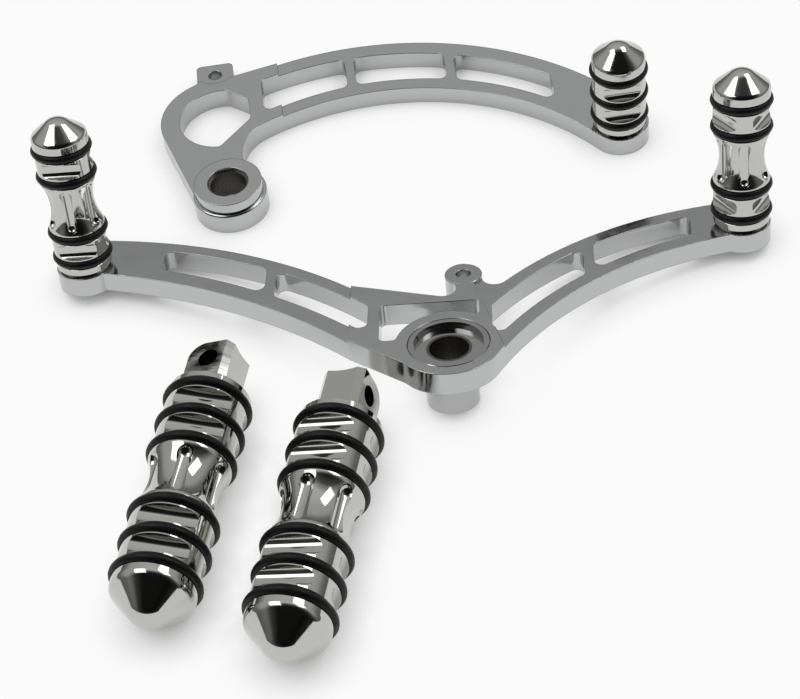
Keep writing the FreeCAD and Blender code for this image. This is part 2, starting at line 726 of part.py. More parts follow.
def foot_placement(at, heading, roll):
    """Returns where a foot peg lies: on its rings, pointing along a heading."""
    tip_over = Rotation(Vector(0, 1, 0), 90.0)
    spin = Rotation(Z_AXIS, heading).multiply(tip_over).multiply(Rotation(Z_AXIS, roll))
    return Placement(Vector(at[0], at[1], FOOT_RING_R), spin)


def build():
    """Builds every piece in the kit's frame.

    Returns:
        A dictionary of solids by node name.
    """
    nodes = {}
    shift = shift_placement()
    brake = lay(Rotation(), 0.0, BRAKE_YAW, BRAKE_AT)
    long_form = lever_peg_form((2, 2))
    short_form = lever_peg_form((3,))
    long_peg = make_lever_peg(long_form)
    screw = make_peg_screw()

    nodes["shift_lever"] = moved(make_shift_lever(), shift)
    nodes["shift_pivot_sleeve"] = moved(make_sleeve(), shift)
    nodes["shift_pivot_bush"] = moved(make_bush(-SLEEVE_PROUD, PAD_T - SLEEVE_DISH_DEPTH), shift)
    nodes["brake_lever"] = moved(make_brake_lever(), brake)
    nodes["brake_pivot_bush"] = moved(make_bush(0.0, PAD_T + BOSS_PROUD - BOSS_BUSH_SUNK), brake)

    pegs = (("toe", long_form, long_peg, TOE_PEG, shift),
            ("heel", long_form, long_peg, HEEL_PEG, shift),
            ("brake", short_form, make_lever_peg(short_form), BRAKE_PEG, brake))
    for name, form, solid, spot, plate in pegs:
        seat = plate.multiply(Placement(spot + Vector(0, 0, ARM_T), Rotation()))
        nodes[name + "_peg"] = moved(solid, seat)
        nodes[name + "_peg_screw"] = moved(screw, plate.multiply(Placement(spot, Rotation())))
        for i, ring in enumerate(form.ring_solids()):
            nodes["%s_peg_ring_%d" % (name, i + 1)] = moved(ring, seat)

    form = foot_form()
    footpeg = make_footpeg(form)
    feet = (("left", LEFT_FOOT_AT, LEFT_FOOT_HEADING, LEFT_FOOT_ROLL),
            ("right", RIGHT_FOOT_AT, RIGHT_FOOT_HEADING, RIGHT_FOOT_ROLL))
    for name, at, heading, roll in feet:
        seat = foot_placement(at, heading, roll)
        nodes[name + "_footpeg"] = moved(footpeg, seat)
        for i, ring in enumerate(form.ring_solids()):
            nodes["%s_footpeg_ring_%d" % (name, i + 1)] = moved(ring, seat)
    return centred(nodes)


def centred(nodes):
    """Returns the solids with the middle of their plan box over the origin."""
    boxes = [s.optimalBoundingBox(False, False) for s in nodes.values()]
    x = 0.5 * (min(b.XMin for b in boxes) + max(b.XMax for b in boxes))
    y = 0.5 * (min(b.YMin for b in boxes) + max(b.YMax for b in boxes))
    shift = Placement(Vector(-x, -y, 0), Rotation())
    return {name: moved(s, shift) for name, s in nodes.items()}


def main():
    """Builds the kit and writes one file for each node."""
    os.makedirs("parts", exist_ok=True)
    for name, solid in build().items():
        solid.exportStep(os.path.join("parts", name + ".step"))


main()
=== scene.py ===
"""Looks of a motorbike control kit: two levers with ringed pegs and a pair of foot pegs.

Lengths are in metres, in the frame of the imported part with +Z up from the floor, apart from the
sizes that a class gives in millimetres.
"""
from __future__ import annotations

import logging
import math
from dataclasses import dataclass, field, replace
from enum import Enum

import bmesh
import bpy
import numpy as np
from mathutils import Matrix, Vector

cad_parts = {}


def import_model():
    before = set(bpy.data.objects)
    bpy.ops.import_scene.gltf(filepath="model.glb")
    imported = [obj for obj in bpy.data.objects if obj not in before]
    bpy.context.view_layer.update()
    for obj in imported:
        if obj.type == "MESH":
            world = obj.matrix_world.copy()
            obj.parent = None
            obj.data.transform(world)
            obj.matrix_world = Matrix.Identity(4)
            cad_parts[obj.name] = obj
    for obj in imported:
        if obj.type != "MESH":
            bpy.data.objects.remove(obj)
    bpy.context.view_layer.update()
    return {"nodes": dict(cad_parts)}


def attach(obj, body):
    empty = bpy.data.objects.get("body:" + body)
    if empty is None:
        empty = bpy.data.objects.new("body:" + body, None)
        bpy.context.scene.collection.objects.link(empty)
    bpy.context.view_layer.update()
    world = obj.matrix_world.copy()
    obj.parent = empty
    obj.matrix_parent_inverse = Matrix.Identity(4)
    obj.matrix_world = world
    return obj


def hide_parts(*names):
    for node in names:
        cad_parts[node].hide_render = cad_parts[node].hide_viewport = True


LOG = logging.getLogger("control_kit")
MM = 0.001
BODY = "root"
PICTURE_WIDTH_PX = 800.0
ORIGIN = (0.0, 0.0, 0.0)
UPRIGHT = (0.0, 0.0, 1.0)
QUARTER_TURN = 0.5 * math.pi
FULL_TURN = 2.0 * math.pi
SHARP_ANGLE = math.radians(34.0)
MERGE_MM = 0.001
NEAR_MM = 0.1
# Nearly every value of a noise pattern lies between these two.
NOISE_LOW = 0.3
NOISE_HIGH = 0.7
# A lying ring points hardly up or down, so a little of +Y settles its direction.
LYING_BIAS = 0.1

Outline = list[tuple[float, float]]


class Slot(Enum):
    """Material slots of the record."""

    LEVER = "lever_plate"
    PEG = "peg_polish"
    SLEEVE = "sleeve_steel"
    BUSH = "bush_bronze"
    RING = "ring_rubber"
    SCREW = "screw_steel"


class Joining(Enum):
    """Ways of combining two closed shapes."""

    UNITE = "UNION"
    CUT = "DIFFERENCE"


def linear(hex_colour: str) -> tuple[float, float, float, float]:
    """Turns an sRGB hex colour to linear.

    Args:
        hex_colour: six hex digits after a hash sign.

    Returns:
        Linear red, green and blue, and full alpha.
    """
    parts = [int(hex_colour[i:i + 2], 16) / 255.0 for i in (1, 3, 5)]
    flat = [c / 12.92 if c <= 0.04045 else ((c + 0.055) / 1.055) ** 2.4 for c in parts]
    return flat[0], flat[1], flat[2], 1.0


def per_mm(size_mm: float) -> float:
    """Returns the texture scale that gives features of a size in millimetres."""
    return 1.0 / (size_mm * MM)


def add_node(tree: bpy.types.NodeTree, kind: str, inputs: dict | None = None,
             **settings: object) -> bpy.types.Node:
    """Adds a node with its settings, values and links.

    Args:
        tree: the node tree.
        kind: the node's type name.
        inputs: values or output sockets by the name or place of the input.
        settings: attributes of the node.

    Returns:
        The new node.
    """
    node = tree.nodes.new(kind)
    for key, value in settings.items():
        setattr(node, key, value)
    for key, value in (inputs or {}).items():
        if isinstance(value, bpy.types.NodeSocket):
            tree.links.new(value, node.inputs[key])
        else:
            node.inputs[key].default_value = value
    return node


def new_material(name: str) -> tuple[bpy.types.Material, bpy.types.NodeTree]:
    """Starts a node material.

    Args:
        name: the material's name.

    Returns:
        The fresh material and its empty tree.
    """
    material = bpy.data.materials.new(name)
    material.use_nodes = True
    material.node_tree.nodes.clear()
    return material, material.node_tree


def set_ramp(node: bpy.types.Node, stops: tuple[tuple[float, float], ...]) -> None:
    """Gives a colour ramp grey stops.

    Args:
        node: the ramp node.
        stops: pairs of a place from 0 to 1 and a linear grey.
    """
    ramp = node.color_ramp
    while len(ramp.elements) > 1:
        ramp.elements.remove(ramp.elements[-1])
    for i, (place, grey) in enumerate(stops):
        element = ramp.elements[0] if i == 0 else ramp.elements.new(place)
        element.position = place
        element.color = (grey, grey, grey, 1.0)


@dataclass(frozen=True)
class Axis:
    """The turning axis of a round piece."""

    origin: Vector
    direction: Vector

    def seat(self) -> Matrix:
        """Returns the matrix that carries an upright shape at the origin onto the axis."""
        turn = Vector(UPRIGHT).rotation_difference(self.direction)
        return Matrix.Translation(self.origin) @ turn.to_matrix().to_4x4()


@dataclass(frozen=True)
class PlatedBillet:
    """Chrome on milled aluminium: a mid grey mirror, a little soft and faintly rippled."""

    name: str = "plated_billet"
    colour: str = "#B9BABA"
    roughness: float = 0.13
    gloss_span: tuple[float, float] = (0.7, 1.5)
    ripple_mm: float = 16.0
    ripple_strength: float = 0.34
    ripple_depth_mm: float = 0.4
    haze_mm: float = 5.0
    edge_mm: float = 0.6
    edge_samples: int = 6

    def material(self) -> bpy.types.Material:
        """Makes the finish.

        Returns:
            The finished material.
        """
        material, tree = new_material(self.name)
        coords = add_node(tree, "ShaderNodeTexCoord").outputs["Object"]
        ripple = add_node(tree, "ShaderNodeTexNoise",
                          {"Vector": coords, "Scale": per_mm(self.ripple_mm), "Detail": 1.5})
        edge = add_node(tree, "ShaderNodeBevel", {"Radius": self.edge_mm * MM},
                        samples=self.edge_samples)
        bump = add_node(tree, "ShaderNodeBump",
                        {"Height": ripple.outputs["Fac"], "Strength": self.ripple_strength,
                         "Distance": self.ripple_depth_mm * MM, "Normal": edge.outputs["Normal"]})
        haze = add_node(tree, "ShaderNodeTexNoise",
                        {"Vector": coords, "Scale": per_mm(self.haze_mm), "Detail": 4.0})
        gloss = add_node(tree, "ShaderNodeMapRange",
                         {"Value": haze.outputs["Fac"],
                          "From Min": NOISE_LOW, "From Max": NOISE_HIGH,
                          "To Min": self.gloss_span[0] * self.roughness,
                          "To Max": self.gloss_span[1] * self.roughness})
        shader = add_node(tree, "ShaderNodeBsdfPrincipled",
                          {"Base Color": linear(self.colour), "Metallic": 1.0,
                           "Roughness": gloss.outputs["Result"], "Normal": bump.outputs["Normal"]})
        add_node(tree, "ShaderNodeOutputMaterial", {"Surface": shader.outputs["BSDF"]})
        return material


@dataclass(frozen=True)
class TurnedPolish:
    """Aluminium turned on a lathe and buffed bright: a sharp mirror with faint round lines."""

    name: str
    axis: Axis
    colour: str = "#BDBDB9"
    roughness: float = 0.07
    gloss_span: tuple[float, float] = (0.5, 1.6)
    line_mm: float = 1.1
    line_strength: float = 0.06
    line_depth_mm: float = 0.1
    stretch: float = 0.04

    def material(self) -> bpy.types.Material:
        """Makes the finish.

        Returns:
            The finished material.
        """
        material, tree = new_material(self.name)
        coords = add_node(tree, "ShaderNodeTexCoord").outputs["Object"]
        back = self.axis.seat().inverted()
        mapped = add_node(tree, "ShaderNodeMapping",
                          {"Vector": coords, "Location": back.to_translation(),
                           "Rotation": back.to_euler()})
        squeezed = add_node(tree, "ShaderNodeVectorMath",
                            {0: mapped.outputs["Vector"],
                             1: (self.stretch, self.stretch, 1.0)}, operation="MULTIPLY")
        lines = add_node(tree, "ShaderNodeTexNoise",
                         {"Vector": squeezed.outputs["Vector"], "Scale": per_mm(self.line_mm),
                          "Detail": 2.0})
        bump = add_node(tree, "ShaderNodeBump",
                        {"Height": lines.outputs["Fac"], "Strength": self.line_strength,
                         "Distance": self.line_depth_mm * MM})
        gloss = add_node(tree, "ShaderNodeMapRange",
                         {"Value": lines.outputs["Fac"],
                          "From Min": NOISE_LOW, "From Max": NOISE_HIGH,
                          "To Min": self.gloss_span[0] * self.roughness,
                          "To Max": self.gloss_span[1] * self.roughness})
        shader = add_node(tree, "ShaderNodeBsdfPrincipled",
                          {"Base Color": linear(self.colour), "Metallic": 1.0,
                           "Roughness": gloss.outputs["Result"], "Normal": bump.outputs["Normal"]})
        add_node(tree, "ShaderNodeOutputMaterial", {"Surface": shader.outputs["BSDF"]})
        return material


@dataclass(frozen=True)
class SinteredBronze:
    """Oil-filled bronze bush: brown, dull and finely pitted."""

    name: str = "sintered_bronze"
    light: str = "#86827B"
    dark: str = "#44403A"
    pit_mm: float = 0.7
    pit_strength: float = 0.3
    pit_depth_mm: float = 0.1
    metallic: float = 0.9
    roughness: float = 0.42

    def material(self) -> bpy.types.Material:
        """Makes the finish.

        Returns:
            The finished material.
        """
        material, tree = new_material(self.name)
        coords = add_node(tree, "ShaderNodeTexCoord").outputs["Object"]
        pits = add_node(tree, "ShaderNodeTexNoise",
                        {"Vector": coords, "Scale": per_mm(self.pit_mm), "Detail": 5.0})
        tint = add_node(tree, "ShaderNodeMix",
                        {"Factor": pits.outputs["Fac"], "A": linear(self.dark),
                         "B": linear(self.light)}, data_type="RGBA")
        bump = add_node(tree, "ShaderNodeBump",
                        {"Height": pits.outputs["Fac"], "Strength": self.pit_strength,
                         "Distance": self.pit_depth_mm * MM})
        shader = add_node(tree, "ShaderNodeBsdfPrincipled",
                          {"Base Color": tint.outputs["Result"], "Metallic": self.metallic,
                           "Roughness": self.roughness, "Normal": bump.outputs["Normal"]})
        add_node(tree, "ShaderNodeOutputMaterial", {"Surface": shader.outputs["BSDF"]})
        return material


@dataclass(frozen=True)
class MouldedRubber:
    """Moulded black nitrile rubber: near black, with a soft sheen and a dusty bloom."""

    name: str = "moulded_rubber"
    dark: str = "#060606"
    bloom: str = "#0E0E0E"
    roughness: tuple[float, float] = (0.4, 0.56)
    ior: float = 1.5
    specular: float = 0.28
    bloom_mm: float = 3.0
    grain_mm: float = 0.5
    grain_strength: float = 0.12
    grain_depth_mm: float = 0.05

    def material(self) -> bpy.types.Material:
        """Makes the finish.

        Returns:
            The finished material.
        """
        material, tree = new_material(self.name)
        coords = add_node(tree, "ShaderNodeTexCoord").outputs["Object"]
        cloud = add_node(tree, "ShaderNodeTexNoise",
                         {"Vector": coords, "Scale": per_mm(self.bloom_mm), "Detail": 3.0})
        tint = add_node(tree, "ShaderNodeMix",
                        {"Factor": cloud.outputs["Fac"], "A": linear(self.dark),
                         "B": linear(self.bloom)}, data_type="RGBA")
        grain = add_node(tree, "ShaderNodeTexNoise",
                         {"Vector": coords, "Scale": per_mm(self.grain_mm), "Detail": 2.0})
        bump = add_node(tree, "ShaderNodeBump",
                        {"Height": grain.outputs["Fac"], "Strength": self.grain_strength,
                         "Distance": self.grain_depth_mm * MM})
        gloss = add_node(tree, "ShaderNodeMapRange",
                         {"Value": cloud.outputs["Fac"],
                          "From Min": NOISE_LOW, "From Max": NOISE_HIGH,
                          "To Min": self.roughness[0], "To Max": self.roughness[1]})
        shader = add_node(tree, "ShaderNodeBsdfPrincipled",
                          {"Base Color": tint.outputs["Result"], "IOR": self.ior,
                           "Specular IOR Level": self.specular,
                           "Roughness": gloss.outputs["Result"], "Normal": bump.outputs["Normal"]})
        add_node(tree, "ShaderNodeOutputMaterial", {"Surface": shader.outputs["BSDF"]})
        return material


@dataclass(frozen=True)
class ZincSteel:
    """Zinc plated screw steel: grey, satin and slightly mottled."""

    name: str = "zinc_steel"
    light: str = "#A2A4A6"
    dark: str = "#7C7E81"
    mottle_mm: float = 2.0
    roughness: float = 0.36

    def material(self) -> bpy.types.Material:
        """Makes the finish.

        Returns:
            The finished material.
        """
        material, tree = new_material(self.name)
        coords = add_node(tree, "ShaderNodeTexCoord").outputs["Object"]
        mottle = add_node(tree, "ShaderNodeTexNoise",
                          {"Vector": coords, "Scale": per_mm(self.mottle_mm), "Detail": 4.0})
        tint = add_node(tree, "ShaderNodeMix",
                        {"Factor": mottle.outputs["Fac"], "A": linear(self.dark),
                         "B": linear(self.light)}, data_type="RGBA")
        shader = add_node(tree, "ShaderNodeBsdfPrincipled",
                          {"Base Color": tint.outputs["Result"], "Metallic": 1.0,
                           "Roughness": self.roughness})
        add_node(tree, "ShaderNodeOutputMaterial", {"Surface": shader.outputs["BSDF"]})
        return material


def dress(node: bpy.types.Object, material: bpy.types.Material) -> None:
    """Gives every material slot of a CAD node one finish.

    Args:
        node: the CAD node.
        material: its finish.
    """
    if not node.material_slots:
        node.data.materials.append(material)
    for slot in node.material_slots:
        slot.material = material


def mesh_object(name: str, shape: bmesh.types.BMesh, material: bpy.types.Material) -> bpy.types.Object:
    """Args:
        name: the piece's name.
        material: its finish.

    Returns:
        The new object.
    """
    mesh = bpy.data.meshes.new(name)
    shape.to_mesh(mesh)
    shape.free()
    mesh.shade_smooth()
    mesh.set_sharp_from_angle(angle=SHARP_ANGLE)
    mesh.materials.append(material)
    piece = bpy.data.objects.new(name, mesh)
    bpy.context.scene.collection.objects.link(piece)
    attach(piece, BODY)
    return piece


def points_of(node: bpy.types.Object) -> np.ndarray:
    """Reads the vertices of a node.

    Args:
        node: the CAD node.

    Returns:
        The place of each vertex, as a row of three numbers.
    """
    flat = np.zeros(3 * len(node.data.vertices), np.float32)
    node.data.vertices.foreach_get("co", flat)
    return flat.reshape(-1, 3).astype(float)


def axis_of(node: bpy.types.Object) -> Axis:
    """Finds the axis of a round piece from its own solid.

    Args:
        node: the CAD node of a ring or a bush.

    Returns:
        The axis through its middle, pointing up.
    """
    points = points_of(node)
    middle = 0.5 * (points.min(0) + points.max(0))
    normal = Vector(np.linalg.svd(points - middle, full_matrices=False)[2][2])
    return Axis(Vector(middle), normal if normal.z + LYING_BIAS * normal.y >= 0.0 else -normal)


def spin_round(shape: bmesh.types.BMesh, steps: int, merge: float) -> None:
    """Spins all of a shape once about the upright axis, and turns its faces outwards.

    Args:
        shape: an outline or a section, changed in place.
        steps: the number of steps round.
        merge: the distance within which vertices are merged.
    """
    bmesh.ops.spin(shape, geom=shape.verts[:] + shape.edges[:], cent=ORIGIN, axis=UPRIGHT,
                   dvec=ORIGIN, angle=FULL_TURN, steps=steps, use_merge=True)
    bmesh.ops.remove_doubles(shape, verts=shape.verts[:], dist=merge)
    bmesh.ops.recalc_face_normals(shape, faces=shape.faces[:])


@dataclass
class RubberRing:
    """One rubber ring, seated in its groove."""

    node: bpy.types.Object
    finish: bpy.types.Material
    tube_sides: int = 22
    steps: int = 96
    parting_line: float = 0.06 * MM

    def axis(self) -> Axis:
        """Returns the axis of the ring."""
        return axis_of(self.node)

    def sizes(self) -> tuple[float, float]:
        """Measures the ring on its own solid.

        Returns:
            The radius of its core and of its tube.
        """
        axis = self.axis()
        offset = points_of(self.node) - np.array(axis.origin)
        height = offset @ np.array(axis.direction)
        tube = 0.5 * float(height.max() - height.min())
        outer = float(np.linalg.norm(offset, axis=1).max())
        return outer - tube, tube

    def build(self) -> None:
        """Spins the ring's section about its axis, with a faint parting line round the outside."""
        core, tube = self.sizes()
        shape = bmesh.new()
        section = bmesh.ops.create_circle(shape, segments=self.tube_sides,
                                          radius=tube - self.parting_line)["verts"]
        outermost = max(section, key=lambda v: v.co.x)
        outermost.co.x += self.parting_line
        bmesh.ops.rotate(shape, verts=section, cent=ORIGIN,
                         matrix=Matrix.Rotation(QUARTER_TURN, 3, "X"))
        bmesh.ops.translate(shape, verts=section, vec=(core, 0.0, 0.0))
        spin_round(shape, self.steps, MERGE_MM * MM)
        bmesh.ops.transform(shape, verts=shape.verts[:], matrix=self.axis().seat())
        piece = mesh_object(self.node.name + "_moulded", shape, self.finish)
        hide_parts(self.node.name)


def arc(centre: tuple[float, float], radius: float, first: float, last: float,
        steps: int = 12) -> Outline:
    """Returns points along an arc, with angles in radians."""
    angles = [first + (last - first) * i / steps for i in range(steps + 1)]
    return [(centre[0] + radius * math.cos(a), centre[1] + radius * math.sin(a)) for a in angles]


def turned(outline: Outline, steps: int = 128) -> bmesh.types.BMesh:
    """Turns a solid about the upright axis.

    Args:
        outline: pairs of a radius and a height, in millimetres.
        steps: the number of steps round.

    Returns:
        The turned shape.
    """
    shape = bmesh.new()
    verts = [shape.verts.new((r, 0.0, z)) for r, z in outline]
    for low, high in zip(verts, verts[1:]):
        shape.edges.new((low, high))
    spin_round(shape, steps, MERGE_MM)
    return shape


def slab(corner_points: list[tuple[float, float, float]],
         way: tuple[float, float, float]) -> bmesh.types.BMesh:
    """Extrudes a flat face.

    Args:
        corner_points: the corners of the face in order.
        way: how far and which way the face is carried.

    Returns:
        The closed shape, with faces that may still point inwards.
    """
    shape = bmesh.new()
    face = shape.faces.new([shape.verts.new(point) for point in corner_points])
    grown = bmesh.ops.extrude_face_region(shape, geom=[face])["geom"]
    bmesh.ops.translate(shape, verts=[v for v in grown if isinstance(v, bmesh.types.BMVert)],
                        vec=way)
    return shape


def round_bar(radius: float, length: float, sides: int) -> bmesh.types.BMesh:
    """Makes an upright round bar, centred at zero.

    Args:
        radius: its radius.
        length: its length.
        sides: the number of faces round it.

    Returns:
        The closed shape.
    """
    shape = bmesh.new()
    bmesh.ops.create_cone(shape, cap_ends=True, segments=sides, radius1=radius, radius2=radius,
                          depth=length)
    return shape


def gathered(shapes: list[bmesh.types.BMesh]) -> bmesh.types.BMesh:
    """Puts several shapes into one.

    Args:
        shapes: the shapes, freed afterwards.

    Returns:
        The one shape.
    """
    whole = bmesh.new()
    for shape in shapes:
        mesh = bpy.data.meshes.new("part")
        shape.to_mesh(mesh)
        shape.free()
        whole.from_mesh(mesh)
        bpy.data.meshes.remove(mesh)
    return whole


def combined(body: bmesh.types.BMesh, tool: bmesh.types.BMesh,
             joining: Joining) -> bmesh.types.BMesh:
    """Joins a closed shape with another or cuts it by another.

    Args:
        body: the shape to change, freed afterwards.
        tool: the other shape, freed afterwards.
        joining: whether the other shape is added or cut away.

    Returns:
        The new shape.
    """
    pieces = []
    for name, shape in (("body", body), ("tool", tool)):
        mesh = bpy.data.meshes.new(name)
        shape.to_mesh(mesh)
        shape.free()
        piece = bpy.data.objects.new(name, mesh)
        bpy.context.scene.collection.objects.link(piece)
        pieces.append(piece)
    step = pieces[0].modifiers.new("step", "BOOLEAN")
    step.operation = joining.value
    step.solver = "EXACT"
    step.object = pieces[1]
    result = bmesh.new()
    result.from_object(pieces[0], bpy.context.evaluated_depsgraph_get())
    for piece in pieces:
        bpy.data.meshes.remove(piece.data)
    return result


@dataclass(frozen=True)
class PegForm:
    """Sizes in millimetres of a turned and milled peg that stands on its foot.

    waist_land and pocket_land count in radii of a ring's tube, pocket_floor, pocket_reach and
    flute_share in radii of the peg, pocket_corner in half a pocket's width, and flute_sink in radii
    of a flute.
    """

    radius: float
    rings: tuple[float, ...]
    ring_radius: float
    tube: float
    dome: float
    shoulder: float
    tip: float
    foot: tuple[tuple[float, float], ...]
    waist_after: int = 0
    waist_radius: float = 0.0
    rim: float = 4.7
    side_gap: float = 0.1
    lip: float = 0.25
    waist_land: float = 1.5
    curve_steps: int = 20
    pockets: int = 3
    pocket_land: float = 1.25
    pocket_floor: float = 0.72
    pocket_reach: float = 1.3
    pocket_corner: float = 0.7
    corner_steps: int = 7
    flutes: int = 6
    flute_share: float = 0.235
    flute_sink: float = 0.3
    flute_land: float = 0.7
    flute_sides: int = 32

    def waist_span(self) -> tuple[float, float]:
        """Returns the heights between which the waist is turned."""
        land = self.waist_land * self.tube + self.side_gap
        return self.rings[self.waist_after - 1] + land, self.rings[self.waist_after] - land

    def waist(self) -> Outline:
        """Draws the hollow curve of the waist.

        Returns:
            The points of the curve.
        """
        low, high = self.waist_span()
        half = 0.5 * (high - low)
        sag = self.radius - self.waist_radius
        bow = (half * half + sag * sag) / (2.0 * sag)
        reach = math.asin(half / bow)
        return arc((self.waist_radius + bow, 0.5 * (low + high)), bow, math.pi + reach,
                   math.pi - reach, self.curve_steps)

    def cap(self) -> Outline:
        """Draws the round shoulder, the cone and the round tip.

        Returns:
            The points of the outline, up to the tip.
        """
        rim_z = self.rings[-1] + self.rim
        top = rim_z + self.dome
        out = self.radius - self.shoulder
        rise = rim_z - (top - self.tip)
        turn = math.atan2(rise, out) + math.acos((self.tip - self.shoulder)
                                                 / math.hypot(out, rise))
        points = arc((out, rim_z), self.shoulder, 0.0, turn)
        points += arc((0.0, top - self.tip), self.tip, turn, QUARTER_TURN, self.curve_steps)
        return points[:-1] + [(0.0, top)]

    def outline(self) -> Outline:
        """Draws the whole turned outline.

        Returns:
            The points from the foot to the tip.
        """
        half = self.tube + self.side_gap
        floor = self.ring_radius - 2.0 * self.tube
        points = list(self.foot)
        for i, z in enumerate(self.rings):
            if self.waist_after and i == self.waist_after:
                points += self.waist()
            points += [(self.radius, z - half - self.lip), (self.radius - self.lip, z - half),
                       (floor, z - half), (floor, z + half), (self.radius - self.lip, z + half),
                       (self.radius, z + half + self.lip)]
        return points + self.cap()

    def pocket(self, low: float, high: float, angle: float) -> bmesh.types.BMesh:
        """Makes the cutter of one milled pocket, a bar with a flat floor and round corners.

        Args:
            low: the height of the ring below.
            high: the height of the ring above.
            angle: the pocket's place round the peg, in radians.

        Returns:
            The cutter.
        """
        half = 0.5 * (high - low) - self.pocket_land * self.tube - self.side_gap - self.lip
        painted_contact_shadow = self.pocket_floor * self.radius
        far = self.pocket_reach * self.radius
        bar = bmesh.new()
        bmesh.ops.create_cube(bar, size=1.0)
        bmesh.ops.scale(bar, verts=bar.verts[:], vec=(far - painted_contact_shadow, 2.0 * self.radius, 2.0 * half))
        bmesh.ops.translate(bar, verts=bar.verts[:],
                            vec=(0.5 * (painted_contact_shadow + far), 0.0, 0.5 * (low + high)))
        edges = [e for e in bar.edges if all(v.co.x < painted_contact_shadow + NEAR_MM for v in e.verts)
                 and abs(e.verts[0].co.z - e.verts[1].co.z) < NEAR_MM]
        bmesh.ops.bevel(bar, geom=edges, offset=self.pocket_corner * half,
                        segments=self.corner_steps, profile=0.5, affect="EDGES", material=-1)
        bmesh.ops.rotate(bar, verts=bar.verts[:], cent=ORIGIN,
                         matrix=Matrix.Rotation(angle, 3, "Z"))
        return bar

    def flute(self, angle: float) -> bmesh.types.BMesh:
        """Makes the cutter of one ball-nosed flute along the waist.

        Args:
            angle: the flute's place round the peg, in radians.

        Returns:
            The cutter.
        """
        low, high = self.waist_span()
        r = self.flute_share * self.radius
        away = self.waist_radius + (1.0 - self.flute_sink) * r
        inset = r + self.flute_land
        points = arc((0.0, low + inset), r, -QUARTER_TURN, 0.0)
        points += arc((0.0, high - inset), r, 0.0, QUARTER_TURN)
        points[0] = (0.0, points[0][1])
        points[-1] = (0.0, points[-1][1])
        rod = turned(points, self.flute_sides)
        bmesh.ops.translate(rod, verts=rod.verts[:],
                            vec=(away * math.cos(angle), away * math.sin(angle), 0.0))
        return rod

    def cutters(self, turn: float) -> list[bmesh.types.BMesh]:
        """Makes every pocket and flute cutter.

        Args:
            turn: the angle of the first pocket and flute, in radians.

        Returns:
            The cutters.
        """
        tools = []
        for i, (low, high) in enumerate(zip(self.rings, self.rings[1:])):
            if self.waist_after and i == self.waist_after - 1:
                tools += [self.flute(turn + FULL_TURN * k / self.flutes)
                          for k in range(self.flutes)]
            else:
                tools += [self.pocket(low, high, turn + FULL_TURN * k / self.pockets)
                          for k in range(self.pockets)]
        return tools


@dataclass(frozen=True)
class Tongue:
    """Sizes in millimetres of a foot peg's mounting tongue, below its shoulder.

    bar_reach counts in thicknesses of the tongue.
    """

    thickness: float = 17.0
    width: float = 17.6
    hole_at: float = 12.0
    hole_radius: float = 4.0
    end: float = 20.0
    round_radius: float = 7.0
    bevel: float = 2.4
    root: float = 2.75
    scoop_radius: float = 24.0
    scoop_depth: float = 1.6
    bar_sides: int = 96
    bar_reach: float = 4.0
    bore_slack: float = 0.01

    def block(self) -> bmesh.types.BMesh:
        """Makes the solid block with one round corner and two bevelled edges.

        Returns:
            The closed shape.
        """
        side = 0.5 * self.width
        r = self.round_radius
        outline = [(-side, self.root), (-side, -self.end)]
        outline += arc((side - r, r - self.end), r, -QUARTER_TURN, 0.0)
        outline += [(side, self.root)]
        shape = slab([(x, -0.5 * self.thickness, z) for x, z in outline],
                     (0.0, self.thickness, 0.0))
        edges = [e for e in shape.edges if all(v.co.x < NEAR_MM - side for v in e.verts)
                 and abs(e.verts[0].co.z - e.verts[1].co.z) > NEAR_MM]
        bmesh.ops.bevel(shape, geom=edges, offset=self.bevel, segments=1, profile=0.5,
                        affect="EDGES", material=-1)
        bmesh.ops.recalc_face_normals(shape, faces=shape.faces[:])
        return shape

    def bar(self, radius: float, turn: Matrix, height: float) -> bmesh.types.BMesh:
        """Makes a long round cutter across the tongue.

        Args:
            radius: its radius.
            turn: the turn that lays it down.
            height: the height of its axis.

        Returns:
            The cutter.
        """
        shape = round_bar(radius, self.bar_reach * self.thickness, self.bar_sides)
        bmesh.ops.rotate(shape, verts=shape.verts[:], cent=ORIGIN, matrix=turn)
        bmesh.ops.translate(shape, verts=shape.verts[:], vec=(0.0, 0.0, height))
        return shape

    def cutters(self) -> list[bmesh.types.BMesh]:
        """Returns the pin hole's cutter and the scoop's."""
        scoop_z = self.scoop_depth - self.end - self.scoop_radius
        return [self.bar(self.hole_radius, Matrix.Rotation(QUARTER_TURN, 3, "X"), -self.hole_at),
                self.bar(self.scoop_radius, Matrix.Rotation(QUARTER_TURN, 3, "Y"), scoop_z)]

    def mark_bore(self, shape: bmesh.types.BMesh) -> None:
        """Gives the wall of the pin hole the second material, whose dark colour is painted shade.

        Args:
            shape: the finished peg, before it is put in place.
        """
        for face in shape.faces:
            away = max(math.hypot(v.co.x, v.co.z + self.hole_at) for v in face.verts)
            if away < self.hole_radius + self.bore_slack:
                face.material_index = 1


LEVER_FOOT = ((0.0, 16.0), (4.05, 16.0), (4.05, 0.0), (9.6, 0.0), (9.6, 0.8), (10.2, 0.8),
              (11.0, 1.6))
LONG_PEG = PegForm(radius=11.0, rings=(6.2, 17.5, 42.9, 54.2), ring_radius=12.0, tube=1.7,
                   dome=7.85, shoulder=2.4, tip=7.6, foot=LEVER_FOOT, waist_after=2,
                   waist_radius=8.7)
SHORT_PEG = replace(LONG_PEG, rings=(6.2, 17.5, 28.8), waist_after=0, waist_radius=0.0)
FOOT_PEG = PegForm(radius=15.5, rings=(5.5, 18.5, 31.5, 59.7, 72.7, 85.7), ring_radius=17.0,
                   tube=2.0, dome=12.5, shoulder=4.0, tip=10.2,
                   foot=((0.0, 0.0), (14.5, 0.0), (15.5, 1.0)), waist_after=3, waist_radius=12.9,
                   rim=4.6)


